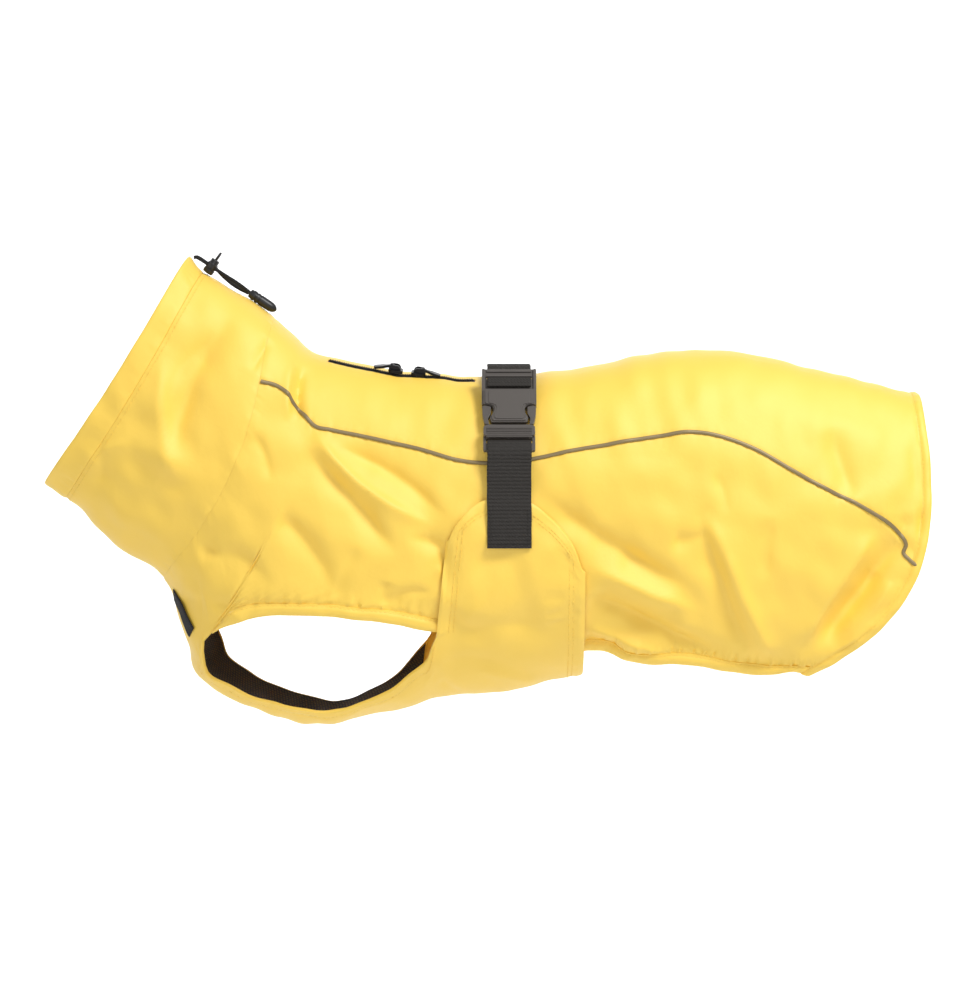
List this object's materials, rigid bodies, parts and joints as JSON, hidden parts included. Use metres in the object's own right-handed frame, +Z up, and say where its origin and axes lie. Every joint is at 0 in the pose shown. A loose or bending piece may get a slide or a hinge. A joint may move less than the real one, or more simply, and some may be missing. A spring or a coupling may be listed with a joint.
{
  "type": "dog raincoat",
  "caption": "Worn-shape raincoat for a medium dog: drawcord collar, saddle with zipped leash slot and reflective piping, leg openings, and a belly band held by a webbing strap with a buckle.",
  "frame": {"origin": "on the inner face of the back's centre line under the strap, where the wearer's back carries the coat", "axes": "+X toward the tail, +Y the dog's right, +Z up"},
  "size_m": [0.6125, 0.1699, 0.3308],
  "materials": {
    "shell": "smooth coated woven shell, pale yellow, soft satin",
    "mesh_lining": "open black knitted mesh",
    "piping": "grey reflective tape",
    "webbing": "ribbed woven webbing",
    "buckle_plastic": "moulded, fine matt texture",
    "zip_tape": "narrow zip tape with moulded coil",
    "zip_metal": "black enamel, satin",
    "drawcord": "braided elastic cord",
    "cord_plastic": "moulded, satin",
    "label_tape": "bare woven tape"
  },
  "bodies": {
    "root": {"collar_casing": "shell", "collar": "shell", "back_panel": "shell", "side_panel_left": "shell", "side_panel_right": "shell", "leg_hem_left": "shell", "skirt_hem_left": "shell", "leg_hem_right": "shell", "skirt_hem_right": "shell", "rear_hem": "shell", "under_panel": "shell", "lining_chest": "mesh_lining", "piping_left": "piping", "piping_right": "piping", "webbing_upper": "webbing", "webbing_layer": "webbing", "webbing_lower": "webbing", "buckle_socket": "buckle_plastic", "buckle_plug": "buckle_plastic", "zip_chain": "zip_tape", "zip_slider_front": "zip_metal", "zip_slider_rear": "zip_metal", "drawcord_left_upper": "drawcord", "drawcord_left_lower": "drawcord", "drawcord_right_upper": "drawcord", "drawcord_right_lower": "drawcord", "toggle": "cord_plastic", "cord_end": "cord_plastic", "label": "label_tape"},
    "pull_front": {"zip_pull_front": "zip_metal"},
    "pull_rear": {"zip_pull_rear": "zip_metal"}
  },
  "joints": [
    {"name": "front_pull_hinge", "type": "hinge", "parent": "root", "child": "pull_front", "pos_m": [-0.08178, -0.0169, 0.01006], "axis": [0.0438, 0.9777, 0.2054], "range_deg": [0, 140]},
    {"name": "rear_pull_hinge", "type": "hinge", "parent": "root", "child": "pull_rear", "pos_m": [-0.06023, -0.017, 0.00707], "axis": [-0.0254, -0.9792, -0.2015], "range_deg": [0, 140]}
  ]
}
